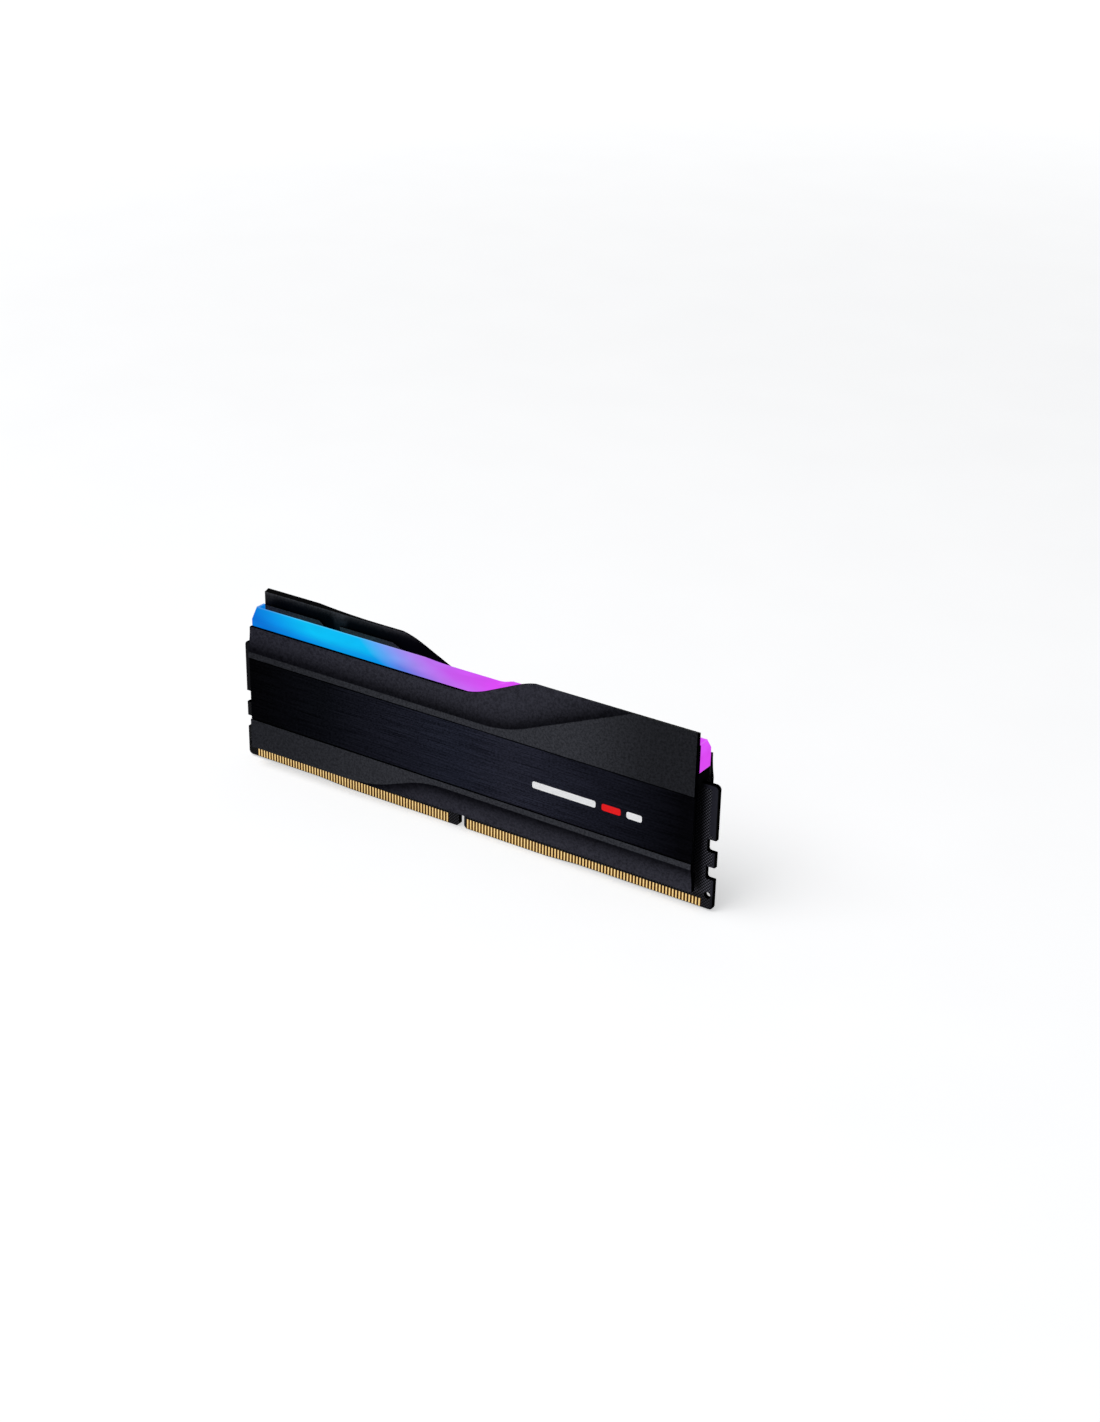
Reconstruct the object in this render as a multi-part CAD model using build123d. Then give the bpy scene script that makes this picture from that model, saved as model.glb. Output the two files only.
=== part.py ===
from build123d import *

import os
from math import radians, tan

# Desktop memory module: a circuit board with an edge connector, memory chips on both faces, two
# identical swept aluminium heat spreaders and a translucent light bar along the top edge.
# Millimetres. X runs along the module, -Y is the front face, +Z is up, away from the socket.
# The origin is the middle of the board's lowest edge, in the middle of its thickness.
# The module looks the same after half a turn about Z, apart from the small parts on the board.

# Circuit board
BOARD_LENGTH = 133.35
BOARD_HEIGHT = 31.25
BOARD_THICKNESS = 1.27
BOARD_TOP_RADIUS = 1.1
BOARD_BOTTOM_RADIUS = 1.0
BOARD_EDGE_BEVEL = 0.18
FACE = BOARD_THICKNESS / 2

# The connector edge is stepped, so that the contacts enter the socket in two stages
EDGE_STEP = 0.5
STEP_RAMPS = ((-44.5, -35.0), (22.5, 31.0))

# Key slot, latch notches and corner holes
KEY_X = -1.4
KEY_WIDTH = 1.5
KEY_TOP = 4.3
KEY_MOUTH_RADIUS = 0.7
NOTCH_FLOORS = (8.1, 14.85)
NOTCH_HEIGHT = 3.1
NOTCH_DEPTH = 2.15
NOTCH_RADIUS = 0.6
CORNER_HOLE_X = 65.2
CORNER_HOLE_Z = 3.95
CORNER_HOLE_DIAMETER = 1.6

# Edge contacts, the same places on both faces
CONTACT_PITCH = 0.85
CONTACT_WIDTH = 0.6
CONTACT_TOP = 2.7
CONTACT_THICKNESS = 0.05
CONTACT_EDGE_GAP = 0.25
LEFT_CONTACTS = 69
RIGHT_CONTACTS = 75
OUTER_CONTACT_X = 63.325

# Memory chips, four on each side of the middle of each face
CHIP_WIDTH = 9.0
CHIP_HEIGHT = 11.0
CHIP_THICKNESS = 1.1
CHIP_PITCH = 13.0
FIRST_CHIP_X = 14.4
CHIP_MIDDLE_Z = 14.95
CHIPS_PER_HALF = 4

# Small parts: each size is (along X, out of the board, along Z)
POWER_CHIP_SIZE = (4.0, 0.85, 4.0)
POWER_CHIP_Z = 16.5
INDUCTOR_SIZE = (3.2, 1.4, 2.6)
INDUCTOR_PITCH = 5.2
INDUCTOR_Z = 23.2
HUB_CHIP_SIZE = (3.0, 0.75, 2.0)
HUB_CHIP_Z = 10.6
LIGHT_CHIP_SIZE = (4.0, 0.85, 4.0)
LIGHT_CHIP_Z = 24.6
SMALL_PASSIVE_SIZE = (1.0, 0.5, 0.5)
BULK_CAPACITOR_SIZE = (1.25, 1.1, 2.0)
BULK_CAPACITOR_X = (-9.6, -7.7, 7.7, 9.6)
BULK_CAPACITOR_Z = INDUCTOR_Z
RESISTOR_Z = 6.8
RESISTOR_PITCH = 1.6
RESISTORS_PER_CHIP = 5
DECOUPLING_Z = (22.0, 23.4)
DECOUPLING_PITCH = 2.4
DECOUPLING_PER_ROW = 3

# Light emitters on the front face, just under the board's top edge
LED_COUNT = 10
LED_PITCH = 12.4
LED_SIZE = (2.8, 1.0, 1.2)
LED_Z = 30.2

# Heat spreader
SPREADER_HALF_LENGTH = 62.6
OUTER_FACE = 4.17
SPREADER_BOTTOM = 4.95
LOW_TOP = 36.9
HIGH_TOP = 44.45
SWEEP_ANGLE = 24.3
SHOULDER_FOOT_X = 3.1
SHOULDER_FOOT_RADIUS = 20
SHOULDER_CREST_RADIUS = 22
TOP_SLOPE_ANGLE = 17.0

# The swept hollows above and below the flat face, and the edges where they start
HOLLOW_WIDTH = 7.0
HOLLOW_DEPTH = 0.95
HOLLOW_REACH = 16.0
UPPER_EDGE_Z = 30.5
UPPER_TURN_X = 7.0
UPPER_TURN_ANGLE = 22.5
LOWER_EDGE_Z = 11.15
LOWER_TURN_X = -4.5
LOWER_TURN_ANGLE = 20.5
LOWER_RUN = 5.8
LOWER_RETURN_ANGLE = 13.0
TURN_RADIUS = 30.0

# Recess, adhesive and brushed strip
STRIP_BOTTOM = 12.47
STRIP_TOP = 29.05
STRIP_GAP = 0.08
RECESS_DEPTH = 0.75
ADHESIVE_THICKNESS = 0.1
STRIP_THICKNESS = 0.3

# Inside of the spreader
LIP_FACE = 1.9
LIP_TOP = 9.3
CAVITY_FACE = 2.7
CAVITY_TOP = 33.8
FIN_INNER_FACE = 2.78
LEDGE_TOP = 40.8
LEDGE_TAPER_X = 23.5
LEDGE_GAP_TOP_X = (39.4, 45.5)
LEDGE_GAP_FLOOR_X = (38.8, 43.0)
LEDGE_GAP_FLOOR = 38.9

# Light bar and the carrier under it
BAR_BOTTOM = 34.0
BAR_TOP = 41.1
BAR_FACE = 2.39
BAR_SIDE_TOP = 38.6
BAR_CREST_OUTER = 0.5
BAR_CREST_INNER = 0.3
BAR_END_WALL = 0.4
DISH_HALF_LENGTH = 12.0
DISH_FLOOR_HALF_LENGTH = 8.6
DISH_DEPTH = 1.35
DISH_RADIUS = 6.0
BAR_GROOVE_FACE = 1.2
BAR_GROOVE_DEPTH = 1.2
BAR_GROOVE_END_WALL = 1.6
CARRIER_FACE = 2.3
CARRIER_HALF_LENGTH = 62.4
CARRIER_LEG_FACE = 1.55
CARRIER_LEG_BOTTOM = 29.2
WELL_WIDTH = 3.6
WELL_FACE = 1.95

# Thermal pads, each as thick as the space between the chips and the spreader
PAD_MARGIN = 0.9
POWER_PAD_MARGIN = 0.8

# How far a cutter runs past what it cuts
CLEAR = 5.0

FRONT = -1
REAR = 1


def block(x_range, y_range, z_range):
    """A box between two x values, two y values and two z values."""
    size = [high - low for low, high in (x_range, y_range, z_range)]
    middle = [(high + low) / 2 for low, high in (x_range, y_range, z_range)]
    return Pos(*middle) * Box(*size)


def surface_part(x, z, size, side, seat=FACE):
    """A box of (along X, outward, along Z) size, standing on a face of the board."""
    width, thickness, height = size
    y_range = sorted((side * seat, side * (seat + thickness)))
    return block((x - width / 2, x + width / 2), y_range, (z - height / 2, z + height / 2))


def group(shapes):
    return Compound(children=list(shapes))


def half_turn(shape):
    """The front spreader's pieces, turned about Z, are the rear spreader's pieces."""
    return Rot(0, 0, 180) * shape


def front_outline(points, radii, depth_range):
    """A plate drawn in the X-Z plane, its listed corners rounded, between two y values."""
    low, high = depth_range
    sketch_plane = Plane.XZ.offset(-low)
    face = make_face(Polyline(*points, close=True))
    for corner, radius in radii.items():
        nearest = face.vertices().sort_by_distance(Vector(*points[corner]))[0]
        face = fillet(nearest, radius)
    return extrude(sketch_plane * face, -(high - low))


def edge_height(x):
    """Height of the board's connector edge at x."""
    (left_out, left_in), (right_in, right_out) = STEP_RAMPS
    left_rise = (left_in - x) / (left_in - left_out)
    right_rise = (x - right_in) / (right_out - right_in)
    return EDGE_STEP * min(1, max(0, left_rise, right_rise))


def board_blank():
    end = BOARD_LENGTH / 2
    (left_out, left_in), (right_in, right_out) = STEP_RAMPS
    points = [
        (-end, EDGE_STEP),
        (left_out, EDGE_STEP),
        (left_in, 0),
        (right_in, 0),
        (right_out, EDGE_STEP),
        (end, EDGE_STEP),
        (end, BOARD_HEIGHT),
        (-end, BOARD_HEIGHT),
    ]
    radii = {
        0: BOARD_BOTTOM_RADIUS,
        5: BOARD_BOTTOM_RADIUS,
        6: BOARD_TOP_RADIUS,
        7: BOARD_TOP_RADIUS,
    }
    blank = front_outline(points, radii, (-FACE, FACE))
    lowest = [
        edge
        for edge in blank.edges().filter_by(GeomType.LINE)
        if edge.center().Z < EDGE_STEP + 0.01 and abs(abs(edge.center().Y) - FACE) < 0.01
    ]
    return chamfer(lowest, BOARD_EDGE_BEVEL)


def key_slot():
    """Cutter for the key slot: a round-ended slot with a flared mouth."""
    half = KEY_WIDTH / 2
    points = [
        (KEY_X - half - KEY_MOUTH_RADIUS, -CLEAR),
        (KEY_X - half - KEY_MOUTH_RADIUS, 0),
        (KEY_X - half, KEY_MOUTH_RADIUS),
        (KEY_X - half, KEY_TOP),
        (KEY_X + half, KEY_TOP),
        (KEY_X + half, KEY_MOUTH_RADIUS),
        (KEY_X + half + KEY_MOUTH_RADIUS, 0),
        (KEY_X + half + KEY_MOUTH_RADIUS, -CLEAR),
    ]
    round_end = half - 0.01
    return front_outline(points, {3: round_end, 4: round_end}, (-CLEAR, CLEAR))


def latch_notch(floor, side):
    """Cutter for one notch that a socket latch grips; its inner lower corner is rounded."""
    inner = side * (BOARD_LENGTH / 2 - NOTCH_DEPTH)
    outer = side * (BOARD_LENGTH / 2 + CLEAR)
    ceiling = floor + NOTCH_HEIGHT
    points = [(inner, floor), (outer, floor), (outer, ceiling), (inner, ceiling)]
    return front_outline(points, {0: NOTCH_RADIUS}, (-CLEAR, CLEAR))


def corner_hole(side):
    hole = Cylinder(CORNER_HOLE_DIAMETER / 2, 2 * CLEAR)
    return Pos(side * CORNER_HOLE_X, 0, CORNER_HOLE_Z) * Rot(90, 0, 0) * hole


def circuit_board():
    board = board_blank() - key_slot()
    for side in (-1, 1):
        board -= corner_hole(side)
        for floor in NOTCH_FLOORS:
            board -= latch_notch(floor, side)
    return board


def contact_places():
    left = [-OUTER_CONTACT_X + CONTACT_PITCH * i for i in range(LEFT_CONTACTS)]
    right = [OUTER_CONTACT_X - CONTACT_PITCH * i for i in range(RIGHT_CONTACTS)]
    return left + right[::-1]


def edge_contacts(side):
    contacts = []
    for x in contact_places():
        bottom = max(edge_height(x - CONTACT_WIDTH / 2), edge_height(x + CONTACT_WIDTH / 2))
        bottom += CONTACT_EDGE_GAP
        size = (CONTACT_WIDTH, CONTACT_THICKNESS, CONTACT_TOP - bottom)
        contacts.append(surface_part(x, (CONTACT_TOP + bottom) / 2, size, side))
    return group(contacts)


def chip_places():
    """X of each memory chip on one face, from left to right."""
    right = [FIRST_CHIP_X + CHIP_PITCH * i for i in range(CHIPS_PER_HALF)]
    return [-x for x in reversed(right)] + right


def memory_chip(x, side):
    return surface_part(x, CHIP_MIDDLE_Z, (CHIP_WIDTH, CHIP_THICKNESS, CHIP_HEIGHT), side)


def row(middle, pitch, count):
    return [middle + pitch * (i - (count - 1) / 2) for i in range(count)]


def termination_resistors(side):
    return group(
        surface_part(x, RESISTOR_Z, SMALL_PASSIVE_SIZE, side)
        for chip_x in chip_places()
        for x in row(chip_x, RESISTOR_PITCH, RESISTORS_PER_CHIP)
    )


def decoupling_capacitors(side):
    return group(
        surface_part(x, z, SMALL_PASSIVE_SIZE, side)
        for chip_x in chip_places()
        for z in DECOUPLING_Z
        for x in row(chip_x, DECOUPLING_PITCH, DECOUPLING_PER_ROW)
    )


def bulk_capacitors():
    return group(
        surface_part(x, BULK_CAPACITOR_Z, BULK_CAPACITOR_SIZE, REAR) for x in BULK_CAPACITOR_X
    )


def led_places():
    return row(0, LED_PITCH, LED_COUNT)


def hollow_section(section_plane):
    """Section of a swept hollow: an arc that leaves the flat face and ends parallel to it."""
    with BuildSketch(section_plane) as section:
        with BuildLine():
            arc = TangentArc((HOLLOW_WIDTH, -HOLLOW_DEPTH), (0, 0), tangent=(-1, 0))
            Polyline(arc @ 1, (0, 1), (HOLLOW_REACH, 1), (HOLLOW_REACH, -HOLLOW_DEPTH), arc @ 0)
        make_face()
    return section.sketch


def upper_hollow():
    """Cutter above the flat face: level on the left, then climbing to the right."""
    with BuildLine(Plane.XZ.offset(OUTER_FACE)) as path:
        level = Line((-SPREADER_HALF_LENGTH - CLEAR, UPPER_EDGE_Z), (UPPER_TURN_X, UPPER_EDGE_Z))
        turn = JernArc(level @ 1, level % 1, TURN_RADIUS, UPPER_TURN_ANGLE)
        Line(turn @ 1, turn @ 1 + (turn % 1) * SPREADER_HALF_LENGTH)
    start = Plane(origin=path.line @ 0, x_dir=(0, 0, 1), z_dir=(1, 0, 0))
    return sweep(hollow_section(start), path=path.line)


def lower_hollow():
    """Cutter below the flat face: level on the right, then falling to the bottom edge."""
    with BuildLine(Plane.XZ.offset(OUTER_FACE)) as path:
        level = Line((SPREADER_HALF_LENGTH + CLEAR, LOWER_EDGE_Z), (LOWER_TURN_X, LOWER_EDGE_Z))
        turn = JernArc(level @ 1, level % 1, TURN_RADIUS, LOWER_TURN_ANGLE)
        run = Line(turn @ 1, turn @ 1 + (turn % 1) * LOWER_RUN)
        back = JernArc(run @ 1, run % 1, TURN_RADIUS, -LOWER_RETURN_ANGLE)
        Line(back @ 1, back @ 1 + (back % 1) * SPREADER_HALF_LENGTH)
    start = Plane(origin=path.line @ 0, x_dir=(0, 0, -1), z_dir=(-1, 0, 0))
    return sweep(hollow_section(start), path=path.line)


def spreader_blank():
    """The plate's outline: low on the left, sweeping up to the full height on the right."""
    crest_x = SHOULDER_FOOT_X + (HIGH_TOP - LOW_TOP) / tan(radians(SWEEP_ANGLE))
    points = [
        (-SPREADER_HALF_LENGTH, SPREADER_BOTTOM),
        (SPREADER_HALF_LENGTH, SPREADER_BOTTOM),
        (SPREADER_HALF_LENGTH, HIGH_TOP),
        (crest_x, HIGH_TOP),
        (SHOULDER_FOOT_X, LOW_TOP),
        (-SPREADER_HALF_LENGTH, LOW_TOP),
    ]
    radii = {3: SHOULDER_CREST_RADIUS, 4: SHOULDER_FOOT_RADIUS}
    return front_outline(points, radii, (-OUTER_FACE, -LIP_FACE))


def fin_relief():
    """Cutter that thins the high half's fin above the ledge that holds the light bar."""
    taper_run = (LEDGE_TOP - LOW_TOP) / tan(radians(SWEEP_ANGLE))
    points = [
        (SPREADER_HALF_LENGTH + CLEAR, LEDGE_TOP),
        (SPREADER_HALF_LENGTH + CLEAR, HIGH_TOP + CLEAR),
        (-CLEAR, HIGH_TOP + CLEAR),
        (-CLEAR, LOW_TOP),
        (LEDGE_TAPER_X - taper_run, LOW_TOP),
        (LEDGE_TAPER_X, LEDGE_TOP),
    ]
    return front_outline(points, {}, (-FIN_INNER_FACE, 0))


def ledge_gap():
    """Cutter for the leaning gap that parts the ledge in two."""
    top_start, top_end = LEDGE_GAP_TOP_X
    floor_start, floor_end = LEDGE_GAP_FLOOR_X
    points = [
        (floor_start, LEDGE_GAP_FLOOR),
        (floor_end, LEDGE_GAP_FLOOR),
        (top_end, LEDGE_TOP),
        (top_start, LEDGE_TOP),
    ]
    return front_outline(points, {}, (-FIN_INNER_FACE, 0))


def top_slope():
    """Cutter that slopes the fin's top edge down towards the light bar."""
    drop = OUTER_FACE * tan(radians(TOP_SLOPE_ANGLE))
    above = HIGH_TOP + CLEAR
    points = [(-OUTER_FACE, HIGH_TOP), (0, HIGH_TOP - drop), (0, above), (-OUTER_FACE, above)]
    section = make_face(Polyline(*points, close=True))
    return extrude(Plane.YZ * section, SPREADER_HALF_LENGTH + CLEAR, both=True)


def heat_spreader():
    along = (-SPREADER_HALF_LENGTH - CLEAR, SPREADER_HALF_LENGTH + CLEAR)
    spreader = spreader_blank() - upper_hollow() - lower_hollow()
    recess_floor = -OUTER_FACE + RECESS_DEPTH
    spreader -= block(along, (-OUTER_FACE - CLEAR, recess_floor), (STRIP_BOTTOM, STRIP_TOP))
    spreader -= block(along, (-CAVITY_FACE, 0), (LIP_TOP, CAVITY_TOP))
    spreader -= block(along, (-BAR_FACE, 0), (CAVITY_TOP, HIGH_TOP + CLEAR))
    spreader -= fin_relief()
    spreader -= ledge_gap()
    return spreader - top_slope()


def strip_layer(depth, thickness):
    """A full-length layer in the spreader's recess, its outer face at a depth below the flat face."""
    outer = -OUTER_FACE + depth
    along = (-SPREADER_HALF_LENGTH, SPREADER_HALF_LENGTH)
    return block(along, (outer, outer + thickness), (STRIP_BOTTOM + STRIP_GAP, STRIP_TOP - STRIP_GAP))


def strip_adhesive():
    return strip_layer(RECESS_DEPTH - ADHESIVE_THICKNESS, ADHESIVE_THICKNESS)


def brushed_strip():
    return strip_layer(RECESS_DEPTH - ADHESIVE_THICKNESS - STRIP_THICKNESS, STRIP_THICKNESS)


def thermal_pad(x_range, side):
    """A pad between the memory chips' faces and the inside of a spreader."""
    y_range = sorted((side * (FACE + CHIP_THICKNESS), side * CAVITY_FACE))
    half_height = CHIP_HEIGHT / 2
    return block(x_range, y_range, (CHIP_MIDDLE_Z - half_height, CHIP_MIDDLE_Z + half_height))


def power_thermal_pad():
    width, thickness, height = POWER_CHIP_SIZE
    pad_size = (
        width + POWER_PAD_MARGIN,
        CAVITY_FACE - FACE - thickness,
        height + POWER_PAD_MARGIN,
    )
    return surface_part(0, POWER_CHIP_Z, pad_size, REAR, seat=FACE + thickness)


def dish():
    """Cutter for the shallow dish in the middle of the light bar's crest."""
    floor = BAR_TOP - DISH_DEPTH
    points = [
        (-DISH_HALF_LENGTH, BAR_TOP),
        (-DISH_FLOOR_HALF_LENGTH, floor),
        (DISH_FLOOR_HALF_LENGTH, floor),
        (DISH_HALF_LENGTH, BAR_TOP),
        (DISH_HALF_LENGTH, BAR_TOP + CLEAR),
        (-DISH_HALF_LENGTH, BAR_TOP + CLEAR),
    ]
    return front_outline(points, {1: DISH_RADIUS, 2: DISH_RADIUS}, (-CLEAR, CLEAR))


def light_bar():
    """Translucent bar. Its crest leans to the low spreader's side and falls away to the fin's side."""
    low_slope = (BAR_FACE - BAR_CREST_OUTER) / (BAR_TOP - BAR_SIDE_TOP)
    dish_floor = BAR_TOP - DISH_DEPTH
    dish_floor_y = BAR_FACE - (dish_floor - BAR_SIDE_TOP) * low_slope
    base = [(-BAR_FACE, BAR_SIDE_TOP), (-BAR_FACE, BAR_BOTTOM), (BAR_FACE, BAR_BOTTOM)]
    fin_side = [(BAR_FACE, BAR_SIDE_TOP), (dish_floor_y, dish_floor), (-BAR_CREST_INNER, BAR_TOP)]
    crest = [(-BAR_CREST_OUTER, BAR_TOP)]
    section = make_face(Polyline(*base, *fin_side, *crest, close=True))
    end_section = make_face(Polyline(*base, (BAR_FACE, BAR_TOP), *crest, close=True))

    end_plane = Plane.YZ.offset(-SPREADER_HALF_LENGTH)
    left_half = extrude(end_plane * section, SPREADER_HALF_LENGTH)
    left_half += extrude(end_plane * end_section, BAR_END_WALL)
    bar = left_half + half_turn(left_half)
    groove_end = SPREADER_HALF_LENGTH - BAR_GROOVE_END_WALL
    groove = block(
        (-groove_end, groove_end),
        (-BAR_GROOVE_FACE, BAR_GROOVE_FACE),
        (BAR_BOTTOM - CLEAR, BAR_BOTTOM + BAR_GROOVE_DEPTH),
    )
    return bar - dish() - groove


def light_well(x):
    """Cutter for the shaft that takes one emitter's light up through the carrier."""
    return block(
        (x - WELL_WIDTH / 2, x + WELL_WIDTH / 2),
        (-WELL_FACE, -FACE),
        (CARRIER_LEG_BOTTOM - CLEAR, BAR_BOTTOM + CLEAR),
    )


def light_bar_carrier():
    """Channel that sits over the board's top edge and carries the light bar."""
    along = (-CARRIER_HALF_LENGTH, CARRIER_HALF_LENGTH)
    web = block(along, (-CARRIER_FACE, CARRIER_FACE), (BOARD_HEIGHT, BAR_BOTTOM))
    legs = block(along, (-CARRIER_LEG_FACE, CARRIER_LEG_FACE), (CARRIER_LEG_BOTTOM, BOARD_HEIGHT))
    board_space = block(along, (-FACE, FACE), (CARRIER_LEG_BOTTOM, BOARD_HEIGHT))
    carrier = web + (legs - board_space)
    for x in led_places():
        carrier -= light_well(x)
    return carrier


def module_pieces():
    """Every piece of the module, by node name."""
    pieces = {"circuit_board": circuit_board()}
    for name, side in (("front", FRONT), ("rear", REAR)):
        pieces[f"edge_contacts_{name}"] = edge_contacts(side)
        pieces[f"termination_resistors_{name}"] = termination_resistors(side)
        pieces[f"decoupling_capacitors_{name}"] = decoupling_capacitors(side)
        for number, x in enumerate(chip_places(), start=1):
            pieces[f"memory_chip_{name}_{number}"] = memory_chip(x, side)

    pieces["power_management_chip"] = surface_part(0, POWER_CHIP_Z, POWER_CHIP_SIZE, REAR)
    for number, x in enumerate(row(0, INDUCTOR_PITCH, 3), start=1):
        pieces[f"power_inductor_{number}"] = surface_part(x, INDUCTOR_Z, INDUCTOR_SIZE, REAR)
    pieces["bulk_capacitors"] = bulk_capacitors()
    pieces["hub_chip"] = surface_part(0, HUB_CHIP_Z, HUB_CHIP_SIZE, REAR)
    pieces["light_driver_chip"] = surface_part(0, LIGHT_CHIP_Z, LIGHT_CHIP_SIZE, FRONT)
    for number, x in enumerate(led_places(), start=1):
        pieces[f"led_{number}"] = surface_part(x, LED_Z, LED_SIZE, FRONT)

    outer_chip_edge = chip_places()[-1] + CHIP_WIDTH / 2 + PAD_MARGIN
    inner_chip_edge = FIRST_CHIP_X - CHIP_WIDTH / 2 - PAD_MARGIN
    pieces["thermal_pad_front"] = thermal_pad((-outer_chip_edge, outer_chip_edge), FRONT)
    pieces["thermal_pad_rear_left"] = thermal_pad((-outer_chip_edge, -inner_chip_edge), REAR)
    pieces["thermal_pad_rear_right"] = thermal_pad((inner_chip_edge, outer_chip_edge), REAR)
    pieces["thermal_pad_power"] = power_thermal_pad()

    spreader_pieces = {
        "heat_spreader": heat_spreader(),
        "strip_adhesive": strip_adhesive(),
        "brushed_strip": brushed_strip(),
    }
    for name, piece in spreader_pieces.items():
        pieces[f"{name}_front"] = piece
        pieces[f"{name}_rear"] = half_turn(piece)

    pieces["light_bar_carrier"] = light_bar_carrier()
    pieces["light_bar"] = light_bar()
    return pieces


os.makedirs("parts", exist_ok=True)
for node, shape in module_pieces().items():
    export_step(shape, f"parts/{node}.step")
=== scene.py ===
from math import cos, radians, sin

import bmesh
import bpy
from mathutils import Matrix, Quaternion, Vector


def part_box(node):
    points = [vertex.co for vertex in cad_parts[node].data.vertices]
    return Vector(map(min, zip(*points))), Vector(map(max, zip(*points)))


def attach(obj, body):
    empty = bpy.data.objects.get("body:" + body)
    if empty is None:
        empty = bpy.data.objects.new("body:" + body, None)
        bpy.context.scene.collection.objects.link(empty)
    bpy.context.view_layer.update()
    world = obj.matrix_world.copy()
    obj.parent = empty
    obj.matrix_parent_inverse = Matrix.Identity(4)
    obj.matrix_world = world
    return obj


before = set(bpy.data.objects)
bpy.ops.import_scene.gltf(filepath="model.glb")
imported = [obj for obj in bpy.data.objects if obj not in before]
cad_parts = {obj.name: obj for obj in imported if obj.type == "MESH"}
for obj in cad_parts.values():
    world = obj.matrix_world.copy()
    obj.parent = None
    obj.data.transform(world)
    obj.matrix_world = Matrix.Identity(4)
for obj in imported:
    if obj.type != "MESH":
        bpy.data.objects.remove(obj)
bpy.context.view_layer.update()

# Lengths are in millimetres, except where it says metres
MM = 0.001

# Camera: its place in metres, the direction that it looks from, its tilt and its lens
CAMERA_PLACE = (0.2702, -0.3812, 0.2529)
CAMERA_AZIMUTH = 33.03
CAMERA_ELEVATION = 25.42
CAMERA_ROLL = 1.293
CAMERA_LENS = 56.89

# Width of the rounding on the CAD pieces' edges, and the least angle of an edge that gets it
EDGE_ROUNDING = {
    "heat_spreader": 0.14,
    "circuit_board": 0.08,
    "light_bar_carrier": 0.1,
    "light_bar": 0.32,
    "memory_chip": 0.08,
    "power_management_chip": 0.08,
    "hub_chip": 0.06,
    "light_driver_chip": 0.06,
    "power_inductor": 0.15,
    "led": 0.1,
}
EDGE_ANGLE = 25

# Printed stripes: name, middle along X, length and ink
STRIPES = (
    ("long", 29.0, 17.0, "white"),
    ("accent", 41.6, 5.0, "red"),
    ("short", 47.6, 4.0, "white"),
)
STRIPE_Z = 19.4
STRIPE_HEIGHT = 1.7
STRIPE_CORNER = 0.51
INK_HEIGHT = 0.015
INK_SINK = 0.01

# Studio: the floor's size and the softbox in metres, its power in watts
ROOM_COLOUR = (0.9, 0.95, 1.0, 1)
ROOM_STRENGTH = 0.12
BACKDROP_COLOUR = (1, 1, 1, 1)
FLOOR_SIZE = 60
FLOOR_LEVEL = -0.02
FLOOR_GLOW = 0.55
FAR_FLOOR_GLOW = 0.86
FLOOR_GLOW_REACH = (300, 1500)
SOFTBOX_PLACE = (-0.5, -0.9, 1.6)
SOFTBOX_SIZE = 1.6
SOFTBOX_POWER = 21.0

# Places on the object. A spreader's fin rises from SHOULDER_LOW, at SHOULDER_FOOT left of the middle,
# by SHOULDER_SLOPE for each mm, up to FIN_EDGE. The ledge behind the light bar has a gap at LEDGE_GAP
OUTER_FACE = abs(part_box("heat_spreader_front")[0].y) / MM
SHOULDER_FOOT = 3.1
SHOULDER_LOW = 36.9
SHOULDER_SLOPE = 0.4515
FIN_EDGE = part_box("heat_spreader_front")[1].z / MM - 0.4
LEDGE_GAP = 39.5
BOARD_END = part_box("circuit_board")[1].x / MM
BOARD_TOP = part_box("circuit_board")[1].z / MM
BAR_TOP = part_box("light_bar")[1].z / MM
CONTACT_PITCH = 0.85
STRIP_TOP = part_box("brushed_strip_front")[1].z / MM
STRIP_FACE = abs(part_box("brushed_strip_front")[0].y) / MM

# Stretches over which a finish changes. Along the module, from its middle:
LANDS_LEFT = (-60, -5)
LANDS_RIGHT = (28, 55)
FIN_END = (57.0, 62.0)
BOARD_LEFT = (-66, -30)
BOARD_SHADOW_FADE = (BOARD_END - 4.0, BOARD_END - 2.0)
# Up the module, from its foot:
LANDS_UPPER = (18, 22)
STRIP_RIM_SHADOW = (STRIP_TOP - 0.47, STRIP_TOP - 0.32)
MARGIN_STEP = (18.6, 19.4)
BOARD_FOOT = (3.6, 4.6)
ABOVE_CONTACTS = (3.8, 5.6)
GLOW_BANDS = (37.2, 39.6)
CREST = (BAR_TOP - 0.2, BAR_TOP - 0.05)
# Inwards from a spreader's outer face:
LAND_DEPTH = (0.05, 0.01)
LEDGE_DEPTH = (1.6, 1.7)
# Sideways from the gap in the ledge:
LEDGE_GAP_REACH = (1.2, 3.4)

# Plain margin of the board at its top, and at its ends below and above the step
TOP_MARGIN = (1.0, 1.2)
SIDE_MARGINS = (0.6, 1.7)


# ---------------------------------------------------------------- materials


def screen(red, green, blue):
    """A screen colour, 0 to 255, as the linear colour that a shader takes."""
    def channel(value):
        value /= 255
        return value / 12.92 if value <= 0.04045 else ((value + 0.055) / 1.055) ** 2.4
    return channel(red), channel(green), channel(blue), 1


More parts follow.
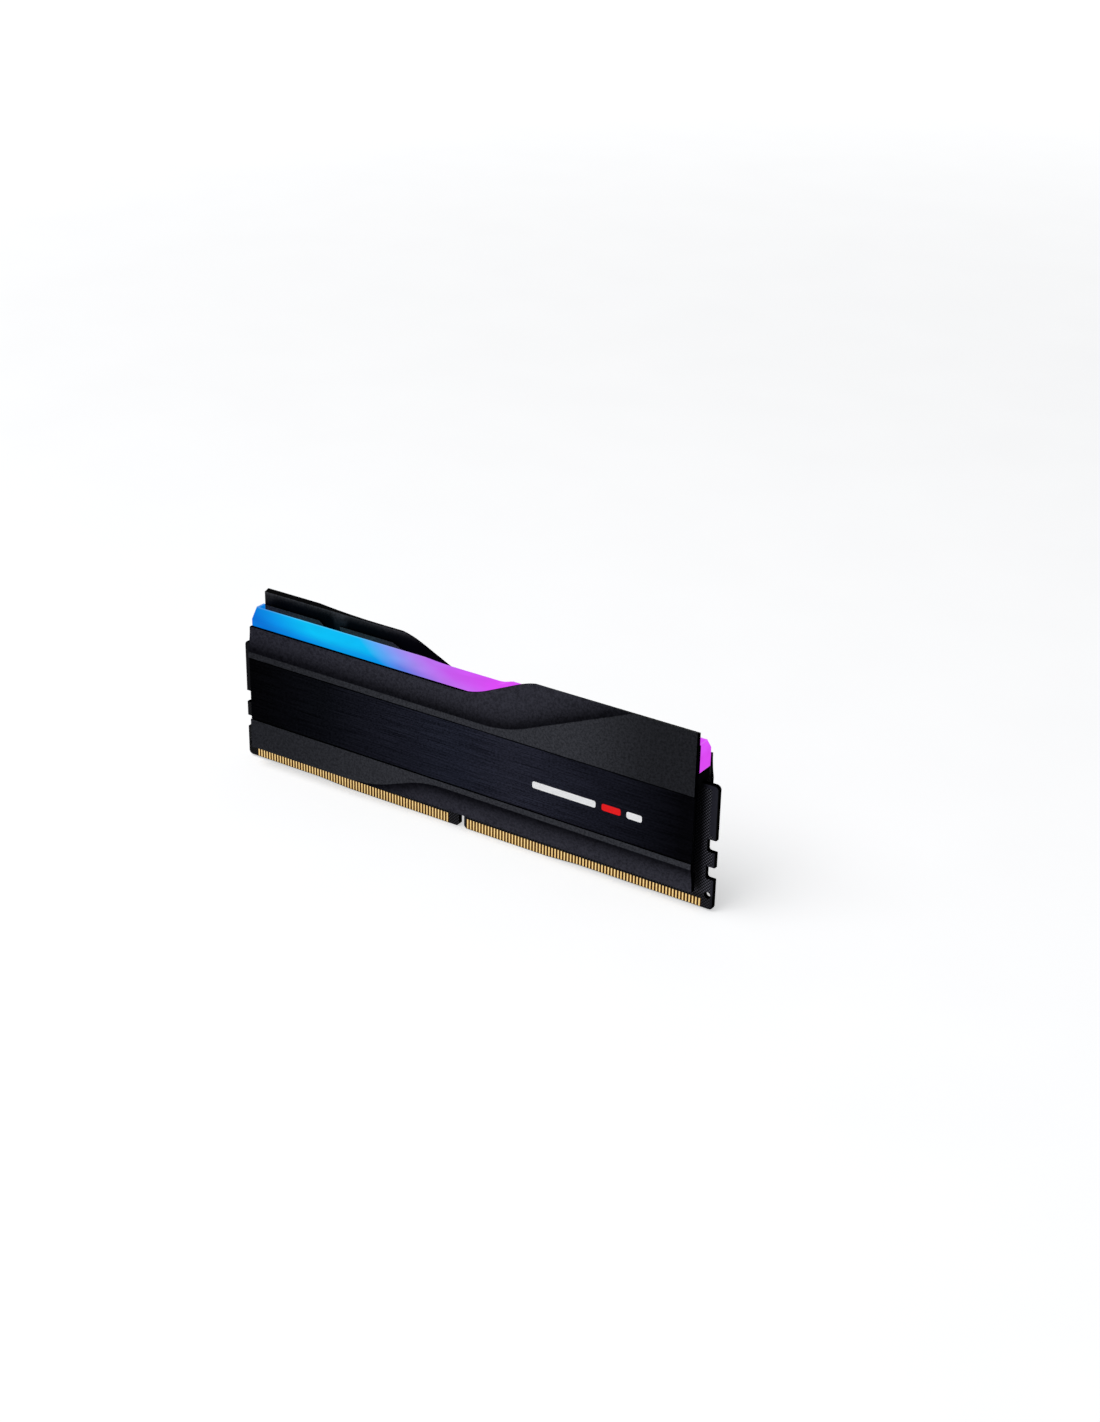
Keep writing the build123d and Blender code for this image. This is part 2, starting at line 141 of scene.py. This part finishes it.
# Reflecting colours of the metals, and colours of the rest. Ramps are (place in mm, colour)
WHITE = (1, 1, 1, 1)
EDGE_TINT = screen(90, 90, 96)
LAND_LIGHT = screen(56, 57, 62)
# Painted shade in a spreader's hollows, by depth in mm below its outer face: darkest next to the flat
# lands
HOLLOW_SHADE_BY_DEPTH = [
    (0.0, screen(20, 20, 25)),
    (0.25, screen(28, 28, 33)),
    (0.6, screen(45, 45, 52)),
    (0.9, screen(52, 52, 60)),
    (2.0, screen(52, 52, 60)),
]
# Painted light: the ledge's front face is drawn lighter than the fin's inner side, as if lit
LEDGE_FACE_PAINTED_LIGHT = screen(64, 56, 52)
# Painted shade on a fin's inner side, by distance in mm below its top edge
FIN_SHADE_BELOW_EDGE = [
    (0.0, screen(64, 63, 65)),
    (0.4, screen(40, 39, 40)),
    (1.1, screen(20, 19, 20)),
    (1.7, screen(7, 6, 7)),
    (3.0, screen(4, 3, 4)),
]
# Painted sheen along the brushed strip, by mm along the module
STRIP_PAINTED_SHEEN = [
    (-62, screen(9, 9, 11)),
    (-40, screen(16, 17, 21)),
    (-20, screen(27, 28, 36)),
    (0, screen(31, 33, 43)),
    (14, screen(36, 37, 47)),
    (22, screen(34, 35, 45)),
    (40, screen(24, 25, 33)),
    (60, screen(8, 8, 11)),
]
# Across a contact, from the gap at 0 to the contact's middle line at 1: gold, with a painted
# highlight along the middle and painted shade towards the gap
GOLD_SHEEN_ACROSS = [
    (0.3, screen(60, 32, 8)),
    (0.5, screen(150, 100, 42)),
    (0.7, screen(255, 206, 120)),
    (1.0, screen(255, 240, 185)),
]
MESH_PITCH = 0.76
MASK_BETWEEN = screen(4, 4, 5)
MASK_ON_COPPER = screen(100, 100, 111)
MASK_MARGIN = screen(40, 40, 49)
LAMINATE_PITCH = 0.21
LAMINATE_DARK = screen(4, 4, 4)
LAMINATE_LIGHT = screen(12, 11, 10)

# The light bar: how strongly painted highlights pale its crest and the rims of its ends, and how far
# its colours shift to the left for each mm above GLOW_LEVEL
CREST_HIGHLIGHT = 0.06
RIM_HIGHLIGHT = 0.16
GLOW_LEVEL = 39.8
GLOW_LEAN = 2.2
# Its colours along its upper slope and along its lower band
GLOW_UPPER = [
    (-64, screen(2, 108, 214)),
    (-57, screen(2, 145, 234)),
    (-45, screen(2, 194, 249)),
    (-29, screen(4, 186, 245)),
    (-24, screen(90, 166, 244)),
    (-14, screen(170, 132, 240)),
    (-5, screen(202, 92, 242)),
    (8, screen(222, 76, 248)),
]
GLOW_LOWER = [
    (-64, screen(2, 118, 218)),
    (-52, screen(2, 140, 227)),
    (-42, screen(4, 156, 233)),
    (-29, screen(4, 146, 231)),
    (-22, screen(100, 126, 232)),
    (-10, screen(192, 112, 242)),
    (8, screen(216, 78, 242)),
    (64, screen(216, 62, 236)),
]


class Finish:
    """A material with one Principled shader and nodes that work in millimetres.

    x, y and z are the place on the module. along is x on the front half and -x on the rear half,
    so that both heat spreaders, which are half a turn apart, are finished in the same way."""

    def __init__(self, name, **sockets):
        self.material = bpy.data.materials.new(name)
        self.material.use_nodes = True
        self.tree = self.material.node_tree
        self.shader = self.tree.nodes["Principled BSDF"]
        for socket, value in sockets.items():
            self.shader.inputs[socket.replace("_", " ")].default_value = value
        place = self.node("ShaderNodeTexCoord").outputs["Object"]
        self.place = self.scaled(place, 1 / MM)
        split = self.node("ShaderNodeSeparateXYZ")
        self.feed(split.inputs[0], self.place)
        self.x, self.y, self.z = split.outputs
        half_turn = self.math("MULTIPLY", self.math("SIGN", self.y), -1.0)
        self.along = self.math("MULTIPLY", self.x, half_turn)

    def node(self, kind, **settings):
        made = self.tree.nodes.new(kind)
        for key, value in settings.items():
            setattr(made, key, value)
        return made

    def feed(self, socket, value):
        if isinstance(value, bpy.types.NodeSocket):
            self.tree.links.new(value, socket)
        else:
            socket.default_value = value

    def math(self, operation, first, second=0.0):
        made = self.node("ShaderNodeMath", operation=operation)
        self.feed(made.inputs[0], first)
        self.feed(made.inputs[1], second)
        return made.outputs[0]

    def scaled(self, vector, factor):
        """A position, or a colour, times a number."""
        made = self.node("ShaderNodeVectorMath", operation="SCALE")
        self.feed(made.inputs["Vector"], vector[:3] if isinstance(vector, tuple) else vector)
        self.feed(made.inputs["Scale"], factor)
        return made.outputs["Vector"]

    def normal(self, axis):
        """The surface normal's part along an axis: 0 for X, 1 for Y, 2 for Z."""
        split = self.node("ShaderNodeSeparateXYZ")
        self.feed(split.inputs[0], self.node("ShaderNodeNewGeometry").outputs["True Normal"])
        return split.outputs[axis]

    def between(self, value, low, high, start=0.0, end=1.0):
        """start up to low, end from high, with a smooth step in the middle."""
        made = self.node("ShaderNodeMapRange", interpolation_type="SMOOTHSTEP")
        self.feed(made.inputs["Value"], value)
        made.inputs["From Min"].default_value = low
        made.inputs["From Max"].default_value = high
        made.inputs["To Min"].default_value = start
        made.inputs["To Max"].default_value = end
        return made.outputs["Result"]

    def noise(self, size, stretch=(1, 1, 1), detail=2.0):
        """Noise around 0.5, whose features are about size across, stretched by axis."""
        stretched = self.node("ShaderNodeMapping")
        stretched.inputs["Scale"].default_value = [1 / along for along in stretch]
        self.feed(stretched.inputs["Vector"], self.place)
        made = self.node("ShaderNodeTexNoise")
        self.feed(made.inputs["Vector"], stretched.outputs["Vector"])
        made.inputs["Scale"].default_value = 1 / size
        made.inputs["Detail"].default_value = detail
        return made.outputs["Fac"]

    def wave(self, value, pitch, sharpness):
        """Ridges from 0 to 1, one for every pitch of value; higher sharpness is narrower."""
        phase = self.math("FRACT", self.math("DIVIDE", value, pitch))
        from_middle = self.math("ABSOLUTE", self.math("SUBTRACT", phase, 0.5))
        ridge = self.math("SUBTRACT", 1.0, self.math("MULTIPLY", from_middle, 2.0))
        return self.math("POWER", ridge, sharpness)

    def mix(self, factor, low, high):
        made = self.node("ShaderNodeMix", data_type="RGBA")
        self.feed(made.inputs[0], factor)
        self.feed(made.inputs[6], low)
        self.feed(made.inputs[7], high)
        return made.outputs[2]

    def ramp(self, value, stops):
        """Colour along value: stops are (where, colour), in order."""
        low, high = stops[0][0], stops[-1][0]
        made = self.node("ShaderNodeValToRGB")
        share = self.math("DIVIDE", self.math("SUBTRACT", value, low), high - low)
        self.feed(made.inputs[0], share)
        elements = made.color_ramp.elements
        while len(elements) < len(stops):
            elements.new(0.5)
        for element, (where, colour) in zip(elements, stops):
            element.position = (where - low) / (high - low)
            element.color = colour
        return made.outputs[0]

    def colour(self, value, socket="Base Color"):
        self.feed(self.shader.inputs[socket], value)

    def roughness(self, value, low, high):
        self.feed(self.shader.inputs["Roughness"], self.between(value, 0.2, 0.8, low, high))

    def bump(self, height, depth):
        """Relief of the given depth."""
        made = self.node("ShaderNodeBump")
        made.inputs["Distance"].default_value = depth * MM
        self.feed(made.inputs["Height"], height)
        self.feed(self.shader.inputs["Normal"], made.outputs[0])


def painted_land_sheen(finish):
    """Painted sheen on the flat lands: less towards the left, and less at the upper right."""
    left = finish.between(finish.along, *LANDS_LEFT, 0.65, 1.0)
    right = finish.between(finish.along, *LANDS_RIGHT, 1.0, 0.45)
    upper = finish.between(finish.z, *LANDS_UPPER)
    lost = finish.math("MULTIPLY", upper, finish.math("SUBTRACT", 1.0, right))
    return finish.math("MULTIPLY", left, finish.math("SUBTRACT", 1.0, lost))


def painted_fin_shade(finish):
    """Painted shade on the inner side of a fin: darker downwards, and less so where the ledge is open
    or ends.
    """
    slope = finish.math("MULTIPLY", finish.math("ADD", finish.along, SHOULDER_FOOT), SHOULDER_SLOPE)
    shoulder = finish.math("ADD", slope, SHOULDER_LOW)
    edge = finish.math("MINIMUM", shoulder, FIN_EDGE)
    below = finish.math("SUBTRACT", edge, finish.z)
    from_gap = finish.math("ABSOLUTE", finish.math("SUBTRACT", finish.along, LEDGE_GAP))
    open_ledge = finish.between(from_gap, *LEDGE_GAP_REACH, 0.3, 1.0)
    open_end = finish.between(finish.along, *FIN_END, 1.0, 0.4)
    darkening = finish.math("MINIMUM", open_ledge, open_end)
    return finish.ramp(finish.math("MULTIPLY", below, darkening), FIN_SHADE_BELOW_EDGE)


def blasted_aluminium():
    """Black anodised aluminium with a sandblasted grain, with a painted sheen on the flat lands and
    painted shade in the hollows, on the fins' inner sides and on the top faces.
    """
    finish = Finish("blasted_black_aluminium", Specular_IOR_Level=0.03, Specular_Tint=EDGE_TINT)
    depth = finish.math("SUBTRACT", OUTER_FACE, finish.math("ABSOLUTE", finish.y))
    land = finish.between(depth, *LAND_DEPTH)
    # Painted shade in the hollows
    hollow = finish.ramp(depth, HOLLOW_SHADE_BY_DEPTH)
    # The flat lands carry a painted sheen
    flat = finish.scaled(LAND_LIGHT, painted_land_sheen(finish))
    outside = finish.mix(land, hollow, flat)
    inner = finish.mix(finish.between(depth, *LEDGE_DEPTH), painted_fin_shade(finish), LEDGE_FACE_PAINTED_LIGHT)
    outward = finish.between(finish.math("MULTIPLY", finish.normal(1), finish.y), -0.5, 0.0)
    body = finish.mix(outward, inner, outside)
    fine = finish.noise(0.25, detail=3)
    coarse = finish.noise(0.6)
    grain = finish.math("MULTIPLY", finish.math("ADD", fine, coarse), 0.5)
    speckle = finish.between(grain, 0.35, 0.65, 0.6, 1.4)
    # Painted shade: faces that don't face front or back, such as the tops, are drawn far darker
    painted_top_shade = finish.between(finish.math("ABSOLUTE", finish.normal(1)), 0.45, 0.85, 0.08, 1.0)
    finish.colour(finish.scaled(body, finish.math("MULTIPLY", painted_top_shade, speckle)))
    finish.feed(finish.shader.inputs["Metallic"], outward)
    finish.roughness(grain, 0.42, 0.6)
    finish.bump(grain, 0.03)
    return finish.material


def brushed_aluminium():
    """Blue-black anodised aluminium, brushed along the module, with a painted sheen along it, a
    painted shadow line under its top edge and painted shade on its edge faces.
    """
    finish = Finish("brushed_blue_black_aluminium", Metallic=1.0, Specular_Tint=EDGE_TINT)
    fine = finish.noise(0.2, stretch=(3, 1, 1))
    broad = finish.noise(0.2, stretch=(65, 1, 1))
    streaks = finish.math("MULTIPLY", finish.math("ADD", fine, broad), 0.5)
    body = finish.ramp(finish.along, STRIP_PAINTED_SHEEN)
    contrast = finish.between(streaks, 0.35, 0.65, 0.36, 1.64)
    # Painted shadow line just under the strip's top edge
    rim = finish.between(finish.z, *STRIP_RIM_SHADOW, 1.0, 0.1)
    # Painted shade on the strip's faces that don't face front or back
    face = finish.between(finish.math("ABSOLUTE", finish.normal(1)), 0.6, 0.95, 0.05, 1.0)
    shade = finish.math("MULTIPLY", contrast, finish.math("MULTIPLY", rim, face))
    finish.colour(finish.scaled(body, shade))
    finish.roughness(streaks, 0.3, 0.45)
    finish.bump(streaks, 0.012)
    return finish.material


def contact_gold():
    """Gold plating with a painted highlight along the middle of each contact and painted shade at its
    sides, with fine wiping marks.
    """
    finish = Finish("contact_gold", Metallic=1.0)
    across = finish.wave(finish.x, CONTACT_PITCH, 1.0)
    # Gold colour with the painted highlight and painted shade across each contact
    plating = finish.ramp(across, GOLD_SHEEN_ACROSS)
    wiping = finish.noise(0.07, stretch=(1, 1, 14), detail=3)
    marks = finish.between(wiping, 0.3, 0.7, 0.85, 1.12)
    finish.colour(finish.scaled(plating, marks))
    finish.roughness(wiping, 0.2, 0.38)
    finish.bump(finish.math("POWER", across, 0.5), 0.06)
    return finish.material


def copper_mesh(finish):
    """Slanting mesh of copper, 1 where two wires cross."""
    first = finish.wave(finish.math("ADD", finish.x, finish.z), MESH_PITCH, 1.0)
    second = finish.wave(finish.math("SUBTRACT", finish.x, finish.z), MESH_PITCH, 1.0)
    crossing = finish.math("MULTIPLY", finish.math("ADD", first, second), 0.5)
    return finish.between(crossing, 0.35, 1.0)


def covered_board(finish):
    """1 where the mesh lies, 0 in the margins, which are wider above the latch notches."""
    end_gap = finish.math("SUBTRACT", BOARD_END, finish.math("ABSOLUTE", finish.x))
    margin = finish.between(finish.z, *MARGIN_STEP, *SIDE_MARGINS)
    inside = finish.between(finish.math("SUBTRACT", end_gap, margin), -0.1, 0.1)
    below_top = finish.between(finish.math("SUBTRACT", BOARD_TOP, finish.z), *TOP_MARGIN)
    return finish.math("MULTIPLY", inside, below_top)


def board_painted_shade(finish):
    """Painted shade on the board: a painted shadow beside the spreaders' ends above the contacts,
    painted shade towards the left, and darker towards its foot.
    """
    from_middle = finish.math("ABSOLUTE", finish.x)
    spreader_shadow = finish.between(from_middle, *BOARD_SHADOW_FADE, 0.85, 0.0)
    above_contacts = finish.between(finish.z, *ABOVE_CONTACTS)
    unshadowed_share = finish.math("SUBTRACT", 1.0, finish.math("MULTIPLY", spreader_shadow, above_contacts))
    foot = finish.between(finish.z, *BOARD_FOOT, 0.4, 1.0)
    left = finish.between(finish.along, *BOARD_LEFT, 0.15, 1.0)
    return finish.math("MULTIPLY", unshadowed_share, finish.math("MULTIPLY", foot, left))


def masked_board():
    """Black solder mask over a copper mesh, with a plain margin and black laminate edges."""
    finish = Finish("masked_board", Specular_IOR_Level=0.08, Specular_Tint=EDGE_TINT)
    covered = covered_board(finish)
    relief = finish.math("MULTIPLY", copper_mesh(finish), covered)
    bare_mask = finish.mix(covered, MASK_MARGIN, MASK_BETWEEN)
    mask = finish.mix(relief, bare_mask, MASK_ON_COPPER)
    layers = finish.wave(finish.y, LAMINATE_PITCH, 1.0)
    laminate = finish.mix(layers, LAMINATE_DARK, LAMINATE_LIGHT)
    edge = finish.between(finish.math("ABSOLUTE", finish.normal(1)), 0.85, 0.75)
    # The board's colours are scaled by its painted shade and painted shadow
    finish.colour(finish.scaled(finish.mix(edge, mask, laminate), board_painted_shade(finish)))
    finish.feed(finish.shader.inputs["Metallic"], edge)
    weave = finish.noise(0.35, detail=3)
    finish.roughness(weave, 0.38, 0.52)
    finish.bump(finish.math("ADD", relief, finish.math("MULTIPLY", weave, 0.3)), 0.04)
    return finish.material


def lit_diffuser():
    """Milky plastic that glows, its colour running along the bar from blue to magenta, with painted
    highlights on its crest and end rims.
    """
    finish = Finish("lit_diffuser", Roughness=0.4, Specular_IOR_Level=0.02)
    finish.shader.inputs["Base Color"].default_value = screen(6, 6, 8)
    lean = finish.math("MULTIPLY", finish.math("SUBTRACT", finish.z, GLOW_LEVEL), GLOW_LEAN)
    along = finish.math("ADD", finish.x, lean)
    upper = finish.ramp(along, GLOW_UPPER)
    lower = finish.ramp(along, GLOW_LOWER)
    height = finish.between(finish.z, *GLOW_BANDS)
    flank = finish.math("ABSOLUTE", finish.normal(0))
    rounding = finish.between(flank, 0.45, 0.65)
    end_face = finish.between(flank, 0.9, 0.99)
    # Painted highlights on the rounded rims of the ends and along the crest
    rim = finish.math("MULTIPLY", finish.math("SUBTRACT", rounding, end_face), RIM_HIGHLIGHT)
    crest = finish.between(finish.z, *CREST, 0.0, CREST_HIGHLIGHT)
    pale = finish.math("MAXIMUM", rim, crest)
    glow = finish.mix(pale, finish.mix(height, lower, upper), WHITE)
    cloud = finish.noise(3.0, stretch=(2.5, 1, 1))
    strength = finish.between(cloud, 0.2, 0.8, 0.93, 1.05)
    finish.colour(finish.scaled(glow, strength), "Emission Color")
    finish.shader.inputs["Emission Strength"].default_value = 1.0
    finish.bump(finish.noise(0.3), 0.01)
    return finish.material


def moulded(name, colour, grain_size, low=0.4, high=0.6, specular=0.5):
    """Moulded plastic or epoxy with a fine grain."""
    finish = Finish(name, Specular_IOR_Level=specular)
    grain = finish.noise(grain_size, detail=3)
    shade = finish.between(grain, 0.3, 0.7, 0.8, 1.2)
    finish.colour(finish.scaled(colour, shade))
    finish.roughness(grain, low, high)
    finish.bump(grain, 0.02)
    return finish.material


def tinned(name, colour):
    """A small ceramic part whose two ends are tinned."""
    finish = Finish(name)
    grain = finish.noise(0.15, detail=3)
    end = finish.between(finish.math("ABSOLUTE", finish.normal(0)), 0.6, 0.8)
    shade = finish.between(grain, 0.3, 0.7, 0.85, 1.15)
    body = finish.scaled(colour, shade)
    finish.colour(finish.mix(end, body, screen(196, 196, 200)))
    finish.feed(finish.shader.inputs["Metallic"], end)
    finish.roughness(grain, 0.3, 0.5)
    return finish.material


def thermal_pad():
    """Soft silicone with a faint woven backing."""
    finish = Finish("thermal_pad_silicone")
    weave = finish.math("MAXIMUM", finish.wave(finish.x, 0.5, 2), finish.wave(finish.z, 0.5, 2))
    mottle = finish.noise(0.8)
    finish.colour(finish.mix(mottle, screen(150, 160, 172), screen(182, 190, 198)))
    finish.roughness(mottle, 0.7, 0.85)
    finish.bump(weave, 0.02)
    return finish.material


def emitter():
    """Light emitter: a white package whose resin glows."""
    finish = Finish("light_emitter")
    grain = finish.noise(0.2)
    finish.colour(finish.mix(grain, screen(236, 232, 214), screen(250, 247, 236)))
    finish.colour(screen(255, 244, 224), "Emission Color")
    finish.shader.inputs["Emission Strength"].default_value = 0.5
    finish.roughness(grain, 0.2, 0.35)
    return finish.material


def ink(name, colour):
    """Screen-printed ink, a little uneven."""
    finish = Finish(name, Specular_IOR_Level=0.15)
    cover = finish.noise(0.25, detail=4)
    shade = finish.between(cover, 0.3, 0.7, 0.92, 1.0)
    finish.colour(finish.scaled(colour, shade))
    finish.roughness(cover, 0.45, 0.6)
    finish.bump(cover, 0.01)
    return finish.material


def dress_frame():
    """Gives each CAD node its material, by the start of its name."""
    chip = moulded("chip_epoxy", screen(34, 34, 37), 0.25)
    materials = {
        "heat_spreader": blasted_aluminium(),
        "brushed_strip": brushed_aluminium(),
        "strip_adhesive": moulded("adhesive_film", screen(10, 10, 11), 0.4, specular=0.05),
        "circuit_board": masked_board(),
        "edge_contacts": contact_gold(),
        "light_bar_carrier": moulded("carrier_plastic", screen(9, 9, 11), 0.3, specular=0.0),
        "light_bar": lit_diffuser(),
        "memory_chip": chip,
        "power_management_chip": chip,
        "hub_chip": chip,
        "light_driver_chip": chip,
        "termination_resistors": tinned("resistor_glaze", screen(30, 30, 34)),
        "decoupling_capacitors": tinned("capacitor_ceramic", screen(150, 122, 92)),
        "bulk_capacitors": tinned("bulk_capacitor_ceramic", screen(138, 112, 84)),
        "power_inductor": moulded("inductor_iron_powder", screen(78, 78, 82), 0.12, 0.5, 0.7),
        "led": emitter(),
        "thermal_pad": thermal_pad(),
    }
    for name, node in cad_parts.items():
        kind = max((key for key in materials if name.startswith(key)), key=len)
        node.data.materials.clear()
        node.data.materials.append(materials[kind])
        if kind in EDGE_ROUNDING:
            round_edges(node, EDGE_ROUNDING[kind])


def round_edges(node, width):
    """Small rounded edges, which catch the light as machined and moulded edges do."""
    weld = node.modifiers.new("weld", "WELD")
    weld.merge_threshold = 0.001 * MM
    bevel = node.modifiers.new("rounded_edges", "BEVEL")
    bevel.width = width * MM
    bevel.segments = 3
    bevel.limit_method = "ANGLE"
    bevel.angle_limit = radians(EDGE_ANGLE)
    bevel.harden_normals = True


# ---------------------------------------------------------------- printed marks


def rounded_outline(x, z, length, height, radius, steps=6):
    """Corner points of a rectangle with round corners, drawn in the X-Z plane."""
    points = []
    for turn, (side_x, side_z) in enumerate(((1, 1), (-1, 1), (-1, -1), (1, -1))):
        corner_x = x + side_x * (length / 2 - radius)
        corner_z = z + side_z * (height / 2 - radius)
        for step in range(steps + 1):
            angle = radians(90 * (turn + step / steps))
            points.append((corner_x + radius * cos(angle), corner_z + radius * sin(angle)))
    return points


def stripe(name, x, length, material, facing):
    """A printed stripe on the front strip, or, with facing 1, half a turn round on the rear one."""
    shape = bmesh.new()
    foot_y = facing * (STRIP_FACE - INK_SINK) * MM
    outline = rounded_outline(x, STRIPE_Z, length, STRIPE_HEIGHT, STRIPE_CORNER)
    corners = [shape.verts.new((-facing * px * MM, foot_y, pz * MM)) for px, pz in outline]
    face = shape.faces.new(corners)
    raised = bmesh.ops.extrude_face_region(shape, geom=[face])["geom"]
    moved = [item for item in raised if isinstance(item, bmesh.types.BMVert)]
    bmesh.ops.translate(shape, verts=moved, vec=(0, facing * (INK_SINK + INK_HEIGHT) * MM, 0))
    bmesh.ops.recalc_face_normals(shape, faces=shape.faces)
    mesh = bpy.data.meshes.new(name)
    shape.to_mesh(mesh)
    shape.free()
    mesh.materials.append(material)
    piece = bpy.data.objects.new(name, mesh)
    bpy.context.scene.collection.objects.link(piece)
    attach(piece, "root")


def printed_marks():
    """Plain stripes in place of any lettering."""
    inks = {
        "white": ink("white_ink", screen(252, 252, 253)),
        "red": ink("red_ink", screen(250, 4, 12)),
    }
    for side, facing in (("front", -1), ("rear", 1)):
        for label, x, length, tint in STRIPES:
            stripe(f"stripe_{label}_{side}", x, length, inks[tint], facing)


# ---------------------------------------------------------------- stage


def floor():
    """A pale floor that glows a little, and more far away, so that it runs into the backdrop."""
    bpy.ops.mesh.primitive_plane_add(size=FLOOR_SIZE, location=(0, 0, FLOOR_LEVEL * MM))
    ground = bpy.context.object
    ground.name = "floor"
    finish = Finish("pale_floor", Specular_IOR_Level=0.1)
    tone = finish.noise(40.0)
    finish.colour(finish.mix(tone, screen(240, 240, 241), screen(246, 246, 247)))
    finish.roughness(tone, 0.75, 0.85)
    finish.shader.inputs["Emission Color"].default_value = WHITE
    away = finish.node("ShaderNodeVectorMath", operation="LENGTH")
    finish.feed(away.inputs[0], finish.place)
    glow = finish.between(away.outputs["Value"], *FLOOR_GLOW_REACH, FLOOR_GLOW, FAR_FLOOR_GLOW)
    finish.feed(finish.shader.inputs["Emission Strength"], glow)
    ground.data.materials.append(finish.material)


def softbox():
    """A square softbox that faces the module."""
    lamp = bpy.data.lights.new("softbox", "AREA")
    lamp.shape = "SQUARE"
    lamp.size = SOFTBOX_SIZE
    lamp.energy = SOFTBOX_POWER
    holder = bpy.data.objects.new("softbox", lamp)
    holder.location = SOFTBOX_PLACE
    holder.rotation_mode = "QUATERNION"
    holder.rotation_quaternion = (-Vector(SOFTBOX_PLACE)).to_track_quat("-Z", "Y")
    bpy.context.scene.collection.objects.link(holder)


def room_light():
    """A dim room, seen by the camera itself as a plain white backdrop."""
    world = bpy.context.scene.world or bpy.data.worlds.new("room")
    bpy.context.scene.world = world
    world.use_nodes = True
    nodes, links = world.node_tree.nodes, world.node_tree.links
    room = nodes["Background"]
    room.inputs["Color"].default_value = ROOM_COLOUR
    room.inputs["Strength"].default_value = ROOM_STRENGTH
    backdrop = nodes.new("ShaderNodeBackground")
    backdrop.inputs["Color"].default_value = BACKDROP_COLOUR
    seen = nodes.new("ShaderNodeMixShader")
    links.new(nodes.new("ShaderNodeLightPath").outputs["Is Camera Ray"], seen.inputs[0])
    links.new(room.outputs[0], seen.inputs[1])
    links.new(backdrop.outputs[0], seen.inputs[2])
    links.new(seen.outputs[0], nodes["World Output"].inputs["Surface"])


def studio():
    """Pale floor, a dim room and one large softbox, above and in front."""
    floor()
    room_light()
    softbox()
    bpy.context.scene.view_settings.view_transform = "Standard"


def camera():
    """The camera, at the place and angle given above."""
    azimuth, elevation = radians(CAMERA_AZIMUTH), radians(CAMERA_ELEVATION)
    back = Vector((sin(azimuth) * cos(elevation), -cos(azimuth) * cos(elevation), sin(elevation)))
    lens = bpy.data.cameras.new("camera")
    lens.lens = CAMERA_LENS
    lens.sensor_width = 36
    lens.clip_start = 0.01
    holder = bpy.data.objects.new("camera", lens)
    holder.location = CAMERA_PLACE
    holder.rotation_mode = "QUATERNION"
    aim = (-back).to_track_quat("-Z", "Y")
    holder.rotation_quaternion = aim @ Quaternion((0, 0, 1), radians(CAMERA_ROLL))
    bpy.context.scene.collection.objects.link(holder)
    bpy.context.scene.camera = holder


dress_frame()
printed_marks()
studio()
camera()
